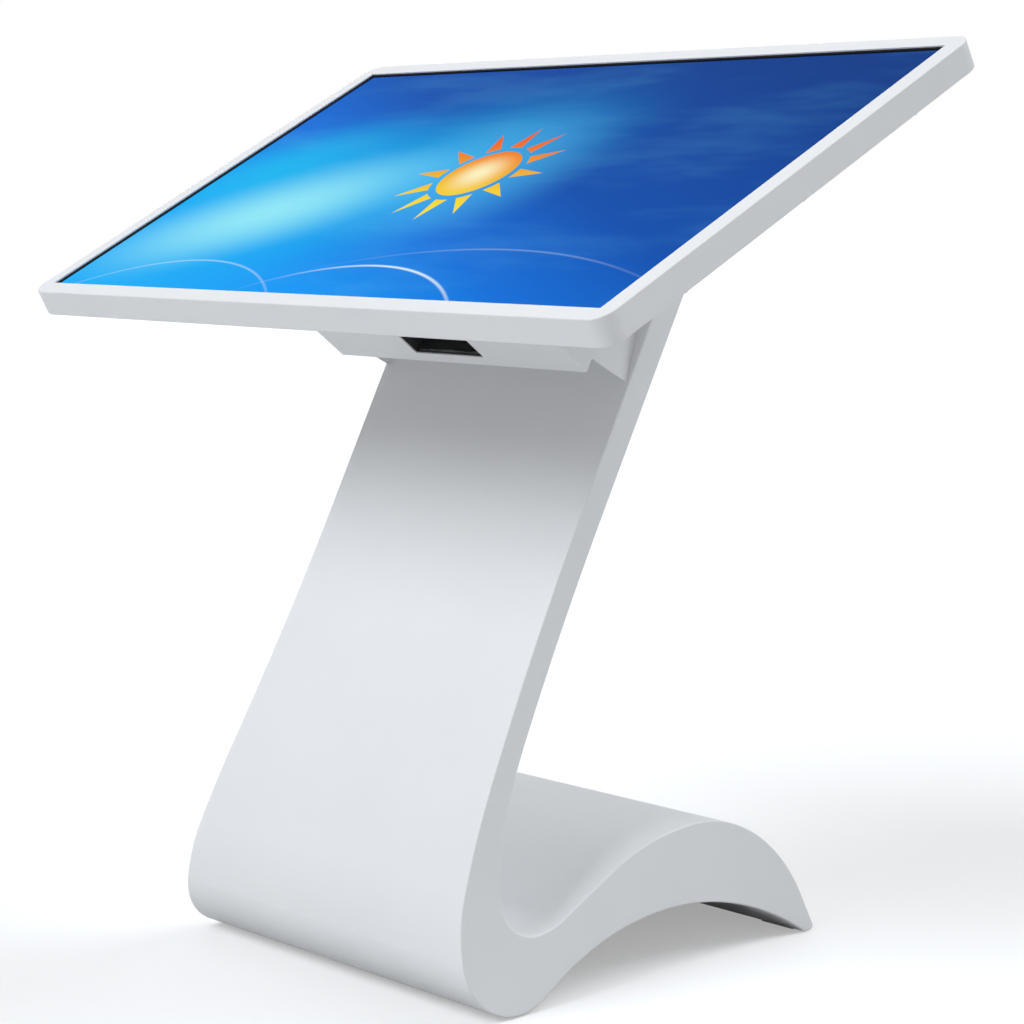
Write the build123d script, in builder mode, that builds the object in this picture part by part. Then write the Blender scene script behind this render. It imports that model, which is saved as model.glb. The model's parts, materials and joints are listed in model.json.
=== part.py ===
from build123d import *
import os
from math import asin, cos, degrees, radians, sin, tan

# Floor-standing touchscreen kiosk: a 43-inch display head, tilted towards the user, on a
# folded sheet-steel stand. All sizes are in millimetres.
# X runs to the user's right, Y runs to the back and Z up. The origin is on the floor, under
# the middle of the kiosk's outline.

os.makedirs("parts", exist_ok=True)

# ---- display head -------------------------------------------------------------------------
tilt = 26.0  # rise of the display towards the back, degrees
head_z = 856.0  # height of the middle of the bezel's face
bezel_w = 992.0
bezel_h = 580.0
bezel_depth = 30.0
bezel_corner = 22.0
bezel_lip = 1.5  # sheet thickness of the bezel's face
bezel_wall = 2.0
opening_w = 949.0
opening_h = 537.0
head_y = -bezel_depth * sin(radians(tilt)) / 2  # centres the head over the origin

glass_top = -3.5  # depths are measured down from the bezel's face
glass_t = 4.0
glass_w = 959.0
glass_h = 547.0
tray_top = -8.0
tray_bottom = -24.0
rail_bottom = -bezel_depth
plate_t = 1.5
cover_t = 1.2
pan_floor = -62.0  # outer face of the rear cover's flat bottom
pan_inside = pan_floor + cover_t
column_top = -66.0  # the stand ends here, one bracket thickness below the rear cover
bracket_t = pan_floor - column_top
top_plate_t = 5.0

# ---- stand --------------------------------------------------------------------------------
stand_front = -251.0  # Y of the foremost point of the stand
pad_rise = 1.5  # rubber pads lift the steel this far off the floor
skin = 1.5  # sheet thickness of the stand's skins
side_t = 2.0
column_half_w = 208.7
flare_top = 485.0  # below this height the sides sweep outwards
flare_r = 2340.0
toe_r = 62.0
front_bends = ((175.0, 22.8), (1000.0, 6.0))  # radius, turn in degrees
rear_bends = ((160.0, 20.0), (700.0, 9.2))
column_run = 800.0
valley_left = (60.0, 114.0)
web_x = 95.0
web_t = 2.0

# ---- equipment box under the head ---------------------------------------------------------
box_sheet = 1.5
box_half_w = 210.0
box_front_edge = (-29.3, 648.0)  # Y and Z of its lower front edge
box_face_angle = 40.0  # the front face rises towards the user at this angle
box_taper = 0.2  # each end leans in by this much per unit of depth
box_edge_r = 1.4
box_return = 18.0  # depth of the fold along its lower front edge
box_tip_z = 633.0  # its ends reach down to this height on the column
slot_w = 117.0
slot_h = 31.0
slot_up = 31.5  # distance of the slot's centre from the lower front edge
bay_depth = 24.0
bay_wall = 1.2
bay_flange = 5.0

head_plane = Plane(
    origin=(0, head_y, head_z),
    x_dir=(1, 0, 0),
    z_dir=(0, -sin(radians(tilt)), cos(radians(tilt))),
)
head_side = Plane(origin=head_plane.origin, x_dir=head_plane.y_dir, z_dir=(1, 0, 0))
stand_side = Plane(origin=(0, stand_front, pad_rise), x_dir=(0, 1, 0), z_dir=(1, 0, 0))
stand_face = Plane(origin=(0, 0, pad_rise), x_dir=(1, 0, 0), z_dir=(0, -1, 0))
box_face = Plane(
    origin=(0, box_front_edge[0], box_front_edge[1]),
    x_dir=(1, 0, 0),
    z_dir=(0, -sin(radians(box_face_angle)), -cos(radians(box_face_angle))),
)


def head_at(u, v, n):
    """Plane parallel to the display: u across, v up the slope, n above the bezel's face."""
    return Plane(
        origin=head_plane.from_local_coords((u, v, n)),
        x_dir=head_plane.x_dir,
        z_dir=head_plane.z_dir,
    )


def to_head_side(y, z):
    """Slope and depth coordinates in the head of a point given by its Y and Z."""
    dy = y - head_y
    dz = z - head_z
    c = cos(radians(tilt))
    s = sin(radians(tilt))
    return dy * c + dz * s, dz * c - dy * s


def box_at(u, s, n):
    """Plane parallel to the equipment box's front face, s measured up that face."""
    return Plane(
        origin=box_face.from_local_coords((u, s, n)),
        x_dir=box_face.x_dir,
        z_dir=box_face.z_dir,
    )


# ---- outlines of the stand ------------------------------------------------------------------
tip_r = 5.0
toe_ball_r = 80.0
arch_apex_x = 293.0
arch_end_x = 484.0
arch_r = (arch_apex_x - toe_r) / sin(radians(31)) - toe_ball_r

with BuildSketch() as stand_outline:
    with BuildLine():
        toe = JernArc((toe_r, 0), (-1, 0), toe_r, -90)
        shin = JernArc(toe @ 1, toe % 1, front_bends[0][0], -front_bends[0][1])
        calf = JernArc(shin @ 1, shin % 1, front_bends[1][0], -front_bends[1][1])
        front = PolarLine(calf @ 1, column_run, direction=calf % 1)
        heel = JernArc(valley_left, (0, 1), rear_bends[0][0], -rear_bends[0][1])
        spine = JernArc(heel @ 1, heel % 1, rear_bends[1][0], -rear_bends[1][1])
        rear = PolarLine(spine @ 1, column_run, direction=spine % 1)
        Line(front @ 1, rear @ 1)
        valley = JernArc(valley_left, (0, -1), 40, 90)
        ramp_foot = JernArc(valley @ 1, valley % 1, 100, 25)
        ramp = PolarLine(ramp_foot @ 1, 80, direction=ramp_foot % 1)
        crest = JernArc(ramp @ 1, ramp % 1, 308, -25)
        tail = JernArc(crest @ 1, crest % 1, 150, -73)
        tail_drop = (tail @ 1).Y / sin(radians(73)) - tip_r * tan(radians(53.5))
        tail_end = PolarLine(tail @ 1, tail_drop, direction=tail % 1)
        tip = JernArc(tail_end @ 1, tail_end % 1, tip_r, -107)
        ball = JernArc((toe_r, 0), (1, 0), toe_ball_r, 31)
        arch = JernArc(ball @ 1, ball % 1, arch_r, -31)
        apex = arch @ 1
        arch_run = arch_end_x - apex.X
        rear_arch_r = (arch_run**2 + apex.Y**2) / (2 * apex.Y)
        rear_arch = JernArc(apex, (1, 0), rear_arch_r, -degrees(asin(arch_run / rear_arch_r)))
        Line(rear_arch @ 1, tip @ 1)
    make_face()

with BuildSketch() as stand_inside:
    add(stand_outline.sketch)
    offset(amount=-skin, mode=Mode.REPLACE)


def front_view(inset):
    """Front outline of the stand, set in by the given amount: straight sides, flared foot."""
    half = column_half_w - inset
    radius = flare_r + inset
    turn = degrees(asin((flare_top + 20) / radius))
    with BuildSketch() as outline:
        with BuildLine():
            side = Line((half, 1300), (half, flare_top))
            flare = JernArc(side @ 1, (0, -1), radius, turn)
            foot = Line(flare @ 1, (0, (flare @ 1).Y))
            Line(foot @ 1, (0, 1300))
            Line((0, 1300), (half, 1300))
        make_face()
        mirror(about=Plane.YZ)
    return outline.sketch


# ---- bezel, touch frame and display stack -------------------------------------------------
bezel_edge_r = 1.4
inner_w = bezel_w - 2 * bezel_wall
inner_h = bezel_h - 2 * bezel_wall
inner_corner = bezel_corner - bezel_wall
touch_frame_gap = 2.0  # between the touch frame and the bezel's rim, each side
touch_frame_corner = 18.0
glass_gap = 1.0
glass_corner = 3.0
sheet_gap = 0.2  # between the glass and the display cell
cell_w = 961.0
cell_h = 549.0
cell_t = 2.0
diffuser_t = 2.0
tray_wall = 3.0
tray_seat = 5.0  # width of the ledge that carries the display cell, each side
led_bar_w = 900.0
led_bar_h = 14.0
led_bar_t = 1.6
led_bars_lift = 1.0
led_rows = 6
led_row_pitch = 88.0
led_columns = 10
led_pitch = 96.0
led_size = 5.0
led_t = 1.2

with BuildPart() as bezel_frame:
    with BuildSketch(head_plane):
        RectangleRounded(bezel_w, bezel_h, bezel_corner)
    extrude(amount=-bezel_depth)
    face_axis = Axis(head_plane.origin, head_plane.z_dir)
    fillet(bezel_frame.faces().sort_by(face_axis)[-1].edges(), bezel_edge_r)
    with BuildSketch(head_plane.offset(-bezel_lip)):
        RectangleRounded(inner_w, inner_h, inner_corner)
    extrude(amount=-bezel_depth, mode=Mode.SUBTRACT)
    with BuildSketch(head_plane):
        Rectangle(opening_w, opening_h)
    extrude(amount=-bezel_depth, mode=Mode.SUBTRACT)
bezel_frame.part.label = "bezel_frame"
export_step(bezel_frame.part, "parts/bezel_frame.step")
with BuildSketch() as touch_frame_outline:
    RectangleRounded(
        inner_w - 2 * touch_frame_gap, inner_h - 2 * touch_frame_gap, touch_frame_corner
    )
with BuildPart() as ir_touch_frame:
    with BuildSketch(head_plane.offset(-bezel_lip)):
        add(touch_frame_outline.sketch)
        Rectangle(opening_w, opening_h, mode=Mode.SUBTRACT)
    extrude(amount=glass_top + bezel_lip)
    with BuildSketch(head_plane.offset(glass_top)):
        add(touch_frame_outline.sketch)
        Rectangle(glass_w + 2 * glass_gap, glass_h + 2 * glass_gap, mode=Mode.SUBTRACT)
    extrude(amount=tray_top - glass_top)
ir_touch_frame.part.label = "ir_touch_frame"
export_step(ir_touch_frame.part, "parts/ir_touch_frame.step")
with BuildPart() as touch_glass:
    with BuildSketch(head_plane.offset(glass_top)):
        RectangleRounded(glass_w, glass_h, glass_corner)
    extrude(amount=-glass_t)
touch_glass.part.label = "touch_glass"
export_step(touch_glass.part, "parts/touch_glass.step")
with BuildPart() as lcd_cell:
    with BuildSketch(head_plane.offset(tray_top - sheet_gap)):
        Rectangle(cell_w, cell_h)
    extrude(amount=-cell_t)
lcd_cell.part.label = "lcd_cell"
export_step(lcd_cell.part, "parts/lcd_cell.step")
with BuildPart() as diffuser_plate:
    with BuildSketch(head_plane.offset(tray_top - sheet_gap - cell_t)):
        Rectangle(cell_w, cell_h)
    extrude(amount=-diffuser_t)
diffuser_plate.part.label = "diffuser_plate"
export_step(diffuser_plate.part, "parts/diffuser_plate.step")
with BuildPart() as backlight_tray:
    with BuildSketch(head_plane.offset(tray_top)):
        Rectangle(cell_w + 2 * tray_wall, cell_h + 2 * tray_wall)
    extrude(amount=tray_bottom - tray_top)
    with BuildSketch(head_plane.offset(tray_top)):
        Rectangle(cell_w + 1, cell_h + 1)
    extrude(amount=-sheet_gap - cell_t - diffuser_t, mode=Mode.SUBTRACT)
    with BuildSketch(head_plane.offset(tray_top)):
        Rectangle(cell_w - 2 * tray_seat, cell_h - 2 * tray_seat)
    extrude(amount=tray_bottom - tray_top + 1, mode=Mode.SUBTRACT)
backlight_tray.part.label = "backlight_tray"
export_step(backlight_tray.part, "parts/backlight_tray.step")
with BuildPart() as led_bars:
    with BuildSketch(head_plane.offset(tray_bottom + led_bars_lift)):
        with GridLocations(0, led_row_pitch, 1, led_rows):
            Rectangle(led_bar_w, led_bar_h)
    extrude(amount=led_bar_t)
    with BuildSketch(head_plane.offset(tray_bottom + led_bars_lift + led_bar_t)):
        with GridLocations(led_pitch, led_row_pitch, led_columns, led_rows):
            Rectangle(led_size, led_size)
    extrude(amount=led_t)
led_bars.part.label = "led_bars"
export_step(led_bars.part, "parts/led_bars.step")

# ---- fixing frame, rails and electronics plate --------------------------------------------
ring_inner_w = 962.0
ring_inner_h = 550.0
ring_t = 1.5
screw_hole_r = 2.1
screw_u = 487.5
screw_v = 281.5
edge_screws = [(u, s * screw_v) for u in (-400, -200, 0, 200, 400) for s in (-1, 1)]
end_screws = [(s * screw_u, v) for v in (-180, 0, 180) for s in (-1, 1)]
cover_screw_spots = edge_screws + end_screws
rail_spots = ((-180.0, 0.0), (180.0, 0.0))
rail_w = 50.0
rail_t = 2.0

with BuildPart() as cover_mount_ring:
    with BuildSketch(head_plane.offset(-bezel_depth)):
        RectangleRounded(inner_w, inner_h, inner_corner)
        Rectangle(ring_inner_w, ring_inner_h, mode=Mode.SUBTRACT)
        with Locations(*cover_screw_spots):
            Circle(screw_hole_r, mode=Mode.SUBTRACT)
    extrude(amount=ring_t)
cover_mount_ring.part.label = "cover_mount_ring"
export_step(cover_mount_ring.part, "parts/cover_mount_ring.step")
with BuildPart() as panel_rails:
    with BuildSketch(head_plane.offset(tray_bottom)):
        with Locations(*rail_spots):
            Rectangle(rail_w, ring_inner_h)
    extrude(amount=rail_bottom - tray_bottom)
    with BuildSketch(head_plane.offset(tray_bottom)):
        with Locations(*rail_spots):
            Rectangle(rail_w - 2 * rail_t, ring_inner_h)
    extrude(amount=rail_bottom - tray_bottom + rail_t, mode=Mode.SUBTRACT)
panel_rails.part.label = "panel_rails"
export_step(panel_rails.part, "parts/panel_rails.step")
with BuildPart() as electronics_plate:
    with BuildSketch(head_at(0, 0, rail_bottom)):
        RectangleRounded(780, 400, 6)
        with GridLocations(300, 0, 2, 1):
            SlotOverall(80, 14, mode=Mode.SUBTRACT)
    extrude(amount=-plate_t)
electronics_plate.part.label = "electronics_plate"
export_step(electronics_plate.part, "parts/electronics_plate.step")

boards_at = rail_bottom - plate_t

# ---- rear cover ---------------------------------------------------------------------------
grommet_spot = (0.0, -95.0)
inlet_spot = (-300.0, -60.0)
fan_spot = (-300.0, 95.0)
speaker_spots = ((-320.0, -160.0), (320.0, -160.0))
door_u = 290.0
door_v = 10.0
door_hole_w = 140.0
door_hole_h = 260.0
door_corner = 4.0
bolt_spots = [(u, v) for u in (-160, -50, 50, 160) for v in (169, 186)]
bolt_r = 4.0
bolt_gap = 0.3
pan_w = 800.0  # flat bottom of the pan
pan_h = 435.0
pan_v = 22.5
pan_rim_w = 850.0  # top of its sloping walls
pan_rim_h = 487.0
pan_rim_v = 18.5
vent_w = 4.0
cut_through = 3.0
grommet_hole_r = 17.0
inlet_body_w = 27.4
inlet_body_h = 52.4
inlet_gap = 0.3

with BuildPart() as rear_cover:
    with BuildSketch(head_plane.offset(-bezel_depth)):
        RectangleRounded(bezel_w - 2, bezel_h - 2, bezel_corner - 1)
    extrude(amount=-cover_t)
    with BuildSketch(head_at(0, pan_rim_v, -bezel_depth - cover_t)):
        Rectangle(pan_rim_w, pan_rim_h)
    with BuildSketch(head_at(0, pan_v, pan_floor)):
        Rectangle(pan_w, pan_h)
    loft()
    with BuildSketch(head_at(0, pan_rim_v, -bezel_depth)):
        Rectangle(pan_rim_w - 2, pan_rim_h - 2)
    with BuildSketch(head_at(0, pan_v, pan_inside)):
        Rectangle(pan_w - 1.5, pan_h - 1.5)
    loft(mode=Mode.SUBTRACT)
    with BuildSketch(head_at(0, 0, pan_inside)):
        with Locations(grommet_spot):
            Circle(grommet_hole_r)
        with Locations(inlet_spot):
            Rectangle(inlet_body_w + 2 * inlet_gap, inlet_body_h + 2 * inlet_gap)
        with Locations((door_u, door_v)):
            RectangleRounded(door_hole_w, door_hole_h, door_corner)
        with Locations(*bolt_spots):
            Circle(bolt_r + bolt_gap)
        with Locations(fan_spot):
            with GridLocations(0, 9, 1, 8):
                SlotOverall(72, vent_w)
        with Locations(*speaker_spots):
            with GridLocations(12, 0, 8, 1):
                SlotOverall(34, vent_w, rotation=90)
    extrude(amount=-cut_through, mode=Mode.SUBTRACT)
    with BuildSketch(head_plane.offset(-bezel_depth)):
        with Locations(*cover_screw_spots):
            Circle(screw_hole_r)
    extrude(amount=-cut_through, mode=Mode.SUBTRACT)
rear_cover.part.label = "rear_cover"
export_step(rear_cover.part, "parts/rear_cover.step")

screw_head_r = 4.0
screw_head_t = 2.2
screw_r = 1.75
screw_length = 7.0
recess_length = 4.4
recess_w = 0.9
recess_depth = 1.2
with BuildPart() as rear_cover_screws:
    with BuildSketch(head_plane.offset(-bezel_depth - cover_t)):
        with Locations(*cover_screw_spots):
            Circle(screw_head_r)
    extrude(amount=-screw_head_t)
    with BuildSketch(head_plane.offset(-bezel_depth - cover_t)):
        with Locations(*cover_screw_spots):
            Circle(screw_r)
    extrude(amount=screw_length)
    with BuildSketch(head_plane.offset(-bezel_depth - cover_t - screw_head_t)):
        with Locations(*cover_screw_spots):
            Rectangle(recess_length, recess_w)
            Rectangle(recess_w, recess_length)
    extrude(amount=recess_depth, mode=Mode.SUBTRACT)
rear_cover_screws.part.label = "rear_cover_screws"
export_step(rear_cover_screws.part, "parts/rear_cover_screws.step")

# ---- electronics in the head --------------------------------------------------------------
box_height = 26.0  # computer and power supply
pc_u = door_u + 12
pc_w = 104.0
pc_h = 180.0
supply_spot = (-95.0, -70.0)
supply_w = 110.0
supply_h = 190.0
groove_depth = 1.5

with BuildPart() as mini_pc:
    with BuildSketch(head_at(pc_u, door_v, boards_at)):
        RectangleRounded(pc_w, pc_h, 5)
    extrude(amount=-box_height)
    with BuildSketch(head_at(pc_u, door_v, boards_at - box_height)):
        with GridLocations(7, 0, 11, 1):
            SlotOverall(90, 3, rotation=90)
    extrude(amount=groove_depth, mode=Mode.SUBTRACT)
mini_pc.part.label = "mini_pc"
export_step(mini_pc.part, "parts/mini_pc.step")
with BuildPart() as power_supply:
    with BuildSketch(head_at(supply_spot[0], supply_spot[1], boards_at)):
        Rectangle(supply_w, supply_h)
    extrude(amount=-box_height)
    with BuildSketch(head_at(supply_spot[0], supply_spot[1], boards_at - box_height)):
        with GridLocations(13, 13, 7, 12):
            Circle(3.5)
    extrude(amount=groove_depth, mode=Mode.SUBTRACT)
power_supply.part.label = "power_supply"
export_step(power_supply.part, "parts/power_supply.step")

board_spot = (90.0, -90.0)
board_w = 145.0
board_h = 105.0
board_t = 1.6
standoff_r = 3.0
standoff_t = 5.0
chip_t = 4.0
with BuildPart() as driver_board:
    with BuildSketch(head_at(board_spot[0], board_spot[1], boards_at)):
        with GridLocations(board_w - 15, board_h - 15, 2, 2):
            Circle(standoff_r)
    extrude(amount=-standoff_t)
    with BuildSketch(head_at(board_spot[0], board_spot[1], boards_at - standoff_t)):
        Rectangle(board_w, board_h)
    extrude(amount=-board_t)
    with BuildSketch(head_at(board_spot[0], board_spot[1], boards_at - standoff_t - board_t)):
        with Locations((-10, 5)):
            Rectangle(28, 28)
        with Locations((35, 15), (-52, 25)):
            Rectangle(14, 22)
        with Locations((-10, 45), (-10, -37)):
            Rectangle(70, 7)
    extrude(amount=-chip_t)
driver_board.part.label = "driver_board"
export_step(driver_board.part, "parts/driver_board.step")

speaker_w = 128.0
speaker_h = 46.0
speaker_t = 22.0
cone_depth = 5.0
with BuildPart() as speakers:
    for spot in speaker_spots:
        with BuildSketch(head_at(spot[0], spot[1], pan_inside)):
            RectangleRounded(speaker_w, speaker_h, 6)
        extrude(amount=speaker_t)
        with BuildSketch(head_at(spot[0], spot[1], pan_inside)):
            SlotOverall(96, 36)
        extrude(amount=cone_depth, mode=Mode.SUBTRACT)
        with BuildSketch(head_at(spot[0], spot[1], pan_inside + cone_depth)):
            Circle(9)
        extrude(amount=-3)
speakers.part.label = "speakers"
export_step(speakers.part, "parts/speakers.step")

fan_size = 80.0
fan_deep = 25.0
fan_opening_r = 38.0
fan_hub_r = 15.0
fan_arm_t = 3.0
fan_shaft_r = 2.0
fan_shaft_gap = 0.05
blade_count = 7
blade_pitch = 42.0  # twist of each blade, degrees
blade_tip_r = 36.0
with BuildPart() as cooling_fan_frame:
    with BuildSketch(head_at(fan_spot[0], fan_spot[1], pan_inside)):
        RectangleRounded(fan_size, fan_size, 4)
        Circle(fan_opening_r, mode=Mode.SUBTRACT)
        with GridLocations(71.5, 71.5, 2, 2):
            Circle(2.2, mode=Mode.SUBTRACT)
    extrude(amount=fan_deep)
    with BuildSketch(head_at(fan_spot[0], fan_spot[1], pan_inside + fan_deep)):
        Circle(fan_hub_r)
        with PolarLocations(26.5, 3):
            Rectangle(25, 4)
    extrude(amount=-fan_arm_t)
    with BuildSketch(head_at(fan_spot[0], fan_spot[1], pan_inside + fan_deep)):
        Circle(fan_shaft_r + fan_shaft_gap)
    extrude(amount=-fan_arm_t, mode=Mode.SUBTRACT)
cooling_fan_frame.part.label = "cooling_fan_frame"
export_step(cooling_fan_frame.part, "parts/cooling_fan_frame.step")
with BuildPart() as cooling_fan_rotor:
    with BuildSketch(head_at(fan_spot[0], fan_spot[1], pan_inside + 3)):
        Circle(fan_hub_r)
    extrude(amount=18)
    with BuildSketch(head_at(fan_spot[0], fan_spot[1], pan_inside + 3)):
        Circle(fan_shaft_r)
    extrude(amount=21.5)
    blade_root = head_plane.from_local_coords((fan_spot[0], fan_spot[1], pan_inside + 12))
    for i in range(blade_count):
        turn = Axis((0, 0, 0), head_plane.z_dir)
        outward = head_plane.x_dir.rotate(turn, i * 360 / blade_count)
        with BuildSketch(Plane(blade_root, head_plane.z_dir, outward)):
            Rectangle(20, 2, rotation=blade_pitch)
        extrude(amount=blade_tip_r)
cooling_fan_rotor.part.label = "cooling_fan_rotor"
export_step(cooling_fan_rotor.part, "parts/cooling_fan_rotor.step")

# ---- mains inlet with rocker switch -------------------------------------------------------
inlet_u = inlet_spot[0]
inlet_v = inlet_spot[1]
inlet_face_t = 2.5
rocker_v = inlet_v + 15
rocker_axis_n = pan_floor - 1.2
rocker_pin_r = 1.2
rocker_pin_gap = 0.05
rocker_pin_length = 26.0
rocker_w = 19.4
window_w = 20.0
socket_v = inlet_v - 11
socket_depth = 17.0


def along_rocker(u):
    """Plane across the rocker's axis at the given place from left to right."""
    return Plane(
        head_plane.from_local_coords((u, rocker_v, rocker_axis_n)),
        head_plane.y_dir,
        (1, 0, 0),
    )


with BuildPart() as mains_inlet:
    with BuildSketch(head_at(inlet_u, inlet_v, pan_floor)):
        RectangleRounded(34, 60, 3)
    extrude(amount=-inlet_face_t)
    with BuildSketch(head_at(inlet_u, inlet_v, pan_floor)):
        Rectangle(inlet_body_w, inlet_body_h)
    extrude(amount=20)
    with BuildSketch(head_at(inlet_u, socket_v, pan_floor - inlet_face_t)):
        RectangleRounded(24, 17, 3)
    extrude(amount=socket_depth, mode=Mode.SUBTRACT)
    with BuildSketch(head_at(inlet_u, rocker_v, pan_floor - inlet_face_t)):
        Rectangle(window_w, 14)
    extrude(amount=12, mode=Mode.SUBTRACT)
    with BuildSketch(head_at(inlet_u, socket_v, pan_floor - inlet_face_t + socket_depth)):
        with Locations((-7, 2), (7, 2), (0, -2)):
            Rectangle(2, 4)
    extrude(amount=-14)
    with BuildSketch(along_rocker(inlet_u - rocker_pin_length / 2)):
        Circle(rocker_pin_r + rocker_pin_gap)
    extrude(amount=rocker_pin_length, mode=Mode.SUBTRACT)
mains_inlet.part.label = "mains_inlet"
export_step(mains_inlet.part, "parts/mains_inlet.step")
with BuildPart() as mains_switch_rocker:
    with BuildSketch(along_rocker(inlet_u - rocker_pin_length / 2)):
        Circle(rocker_pin_r)
    extrude(amount=rocker_pin_length)
    with BuildSketch(along_rocker(inlet_u - rocker_w / 2)):
        with BuildLine():
            Polyline(
                (-5.8, 1.2), (-5.8, -1.2), (0, -2.4), (5.8, -3.6), (5.8, -1.0), (2, 4), (-2, 4),
                close=True,
            )
        make_face()
    extrude(amount=rocker_w)
mains_switch_rocker.part.label = "mains_switch_rocker"
export_step(mains_switch_rocker.part, "parts/mains_switch_rocker.step")

# ---- access door, hinges and lock ---------------------------------------------------------
door_overlap = 6.0
door_w = door_hole_w + 2 * door_overlap
door_h = door_hole_h + 2 * door_overlap
door_t = 1.5
hinge_u = door_u + door_w / 2 + 5
hinge_n = pan_floor - 3.5
hinge_vs = (door_v - 95, door_v + 95)
barrel_r = 3.5
pin_r = 1.5
pin_gap = 0.05
hinge_length = 30.0
knuckle = hinge_length / 3
door_knuckle = knuckle - 0.6
leaf_t = 1.2
leaf_w = 15.0
lock_u = door_u - door_hole_w / 2 + 12
lock_hole_r = 8.4
lock_body_r = 8.35
lock_head_r = 10.5
lock_head_t = 2.5
lock_head_gap = 0.1
cam_w = 13.0
cam_t = 2.2


def along_hinge(v):
    """Plane across the hinge line at the given place up the slope, facing up the slope."""
    return Plane(
        origin=head_plane.from_local_coords((hinge_u, v, hinge_n)),
        x_dir=(1, 0, 0),
        z_dir=head_plane.y_dir,
    )


with BuildPart() as access_door:
    with BuildSketch(head_at(door_u, door_v, pan_floor)):
        RectangleRounded(door_w, door_h, door_corner)
        with Locations((lock_u - door_u, 0)):
            Circle(lock_hole_r, mode=Mode.SUBTRACT)
    extrude(amount=-door_t)
    for v in hinge_vs:
        with BuildSketch(head_at(hinge_u - barrel_r, v, pan_floor)):
            Rectangle(2 * barrel_r, door_knuckle)
        extrude(amount=-door_t)
        with BuildSketch(along_hinge(v - door_knuckle / 2)):
            Circle(barrel_r)
        extrude(amount=door_knuckle)
        with BuildSketch(along_hinge(v - knuckle / 2)):
            Circle(pin_r + pin_gap)
        extrude(amount=knuckle, mode=Mode.SUBTRACT)
access_door.part.label = "access_door"
export_step(access_door.part, "parts/access_door.step")
with BuildPart() as door_hinge_leaves:
    for v in hinge_vs:
        with BuildSketch(head_at(hinge_u + 12, v, pan_floor)):
            Rectangle(leaf_w, hinge_length)
        extrude(amount=-leaf_t)
        for side in (-knuckle, knuckle):
            with BuildSketch(head_at(hinge_u + 3, v + side, pan_floor)):
                Rectangle(6, knuckle)
            extrude(amount=-leaf_t)
            with BuildSketch(along_hinge(v + side - knuckle / 2)):
                Circle(barrel_r)
            extrude(amount=knuckle)
            with BuildSketch(along_hinge(v + side - knuckle / 2)):
                Circle(pin_r)
            extrude(amount=knuckle, mode=Mode.SUBTRACT)
door_hinge_leaves.part.label = "door_hinge_leaves"
export_step(door_hinge_leaves.part, "parts/door_hinge_leaves.step")
with BuildPart() as door_hinge_pins:
    for v in hinge_vs:
        with BuildSketch(along_hinge(v - hinge_length / 2)):
            Circle(pin_r)
        extrude(amount=hinge_length)
door_hinge_pins.part.label = "door_hinge_pins"
export_step(door_hinge_pins.part, "parts/door_hinge_pins.step")
with BuildPart() as door_lock:
    with BuildSketch(head_at(lock_u, door_v, pan_floor - door_t - lock_head_gap)):
        Circle(lock_head_r)
    extrude(amount=-lock_head_t)
    with BuildSketch(head_at(lock_u, door_v, pan_floor - door_t - lock_head_gap)):
        Circle(lock_body_r)
    extrude(amount=10)
    with BuildSketch(head_at(lock_u, door_v, pan_inside + 1)):
        RectangleRounded(cam_w, cam_w, 2)
        with Locations((0, 10)):
            RectangleRounded(cam_w, 26, 2)
    extrude(amount=cam_t)
    with BuildSketch(head_at(lock_u, door_v, pan_floor - door_t - lock_head_gap - lock_head_t)):
        Circle(3.2)
        Rectangle(1.6, 9)
    extrude(amount=1.5, mode=Mode.SUBTRACT)
door_lock.part.label = "door_lock"
export_step(door_lock.part, "parts/door_lock.step")

# ---- equipment box, port bay and its fittings ---------------------------------------------
knee_y = stand_front
knee_z = pad_rise + toe_r
lean_angle = 0.0
for bend_r, bend_turn in front_bends:
    turned = lean_angle + bend_turn
    knee_y += bend_r * (cos(radians(lean_angle)) - cos(radians(turned)))
    knee_z += bend_r * (sin(radians(turned)) - sin(radians(lean_angle)))
    lean_angle = turned


def column_front(z):
    """Y and Z of the column's front face at the given height."""
    return knee_y + (z - knee_z) * tan(radians(lean_angle)), z


def front_at_depth(n):
    """Where the column's front face reaches the given depth under the bezel, in the head."""
    low = to_head_side(*column_front(600))
    high = to_head_side(*column_front(900))
    share = (n - low[1]) / (high[1] - low[1])
    return low[0] + share * (high[0] - low[0]), n


face_up = box_face.y_dir
into_box = -box_face.z_dir
climb_per_mm = to_head_side(head_y + face_up.Y, head_z + face_up.Z)
fold_y = box_front_edge[0] + box_return * into_box.Y
fold_z = box_front_edge[1] + box_return * into_box.Z
box_lower_front = to_head_side(*box_front_edge)
box_fold = to_head_side(fold_y, fold_z)
box_tip = to_head_side(*column_front(box_tip_z))
box_upper_rear = front_at_depth(pan_floor)
climb = (pan_floor - box_lower_front[1]) / climb_per_mm[1]
box_upper_front = (box_lower_front[0] + climb * climb_per_mm[0], pan_floor)
box_side = Plane(origin=box_face.origin, x_dir=into_box, z_dir=into_box.cross(face_up))
box_reach = 400.0  # further than any part of the box lies from its lower front edge


box_across = Plane(origin=box_face.origin, x_dir=box_face.x_dir, z_dir=face_up)


def box_outline(inset):
    """Outline of the box seen along its front face, its ends set in by the given amount."""
    front_half = box_half_w - inset + box_taper
    back_half = box_half_w - inset - box_reach * box_taper
    with BuildSketch() as outline:
        Polygon(
            (-front_half, -1),
            (front_half, -1),
            (back_half, box_reach),
            (-back_half, box_reach),
            align=None,
        )
    return outline.sketch


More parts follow.
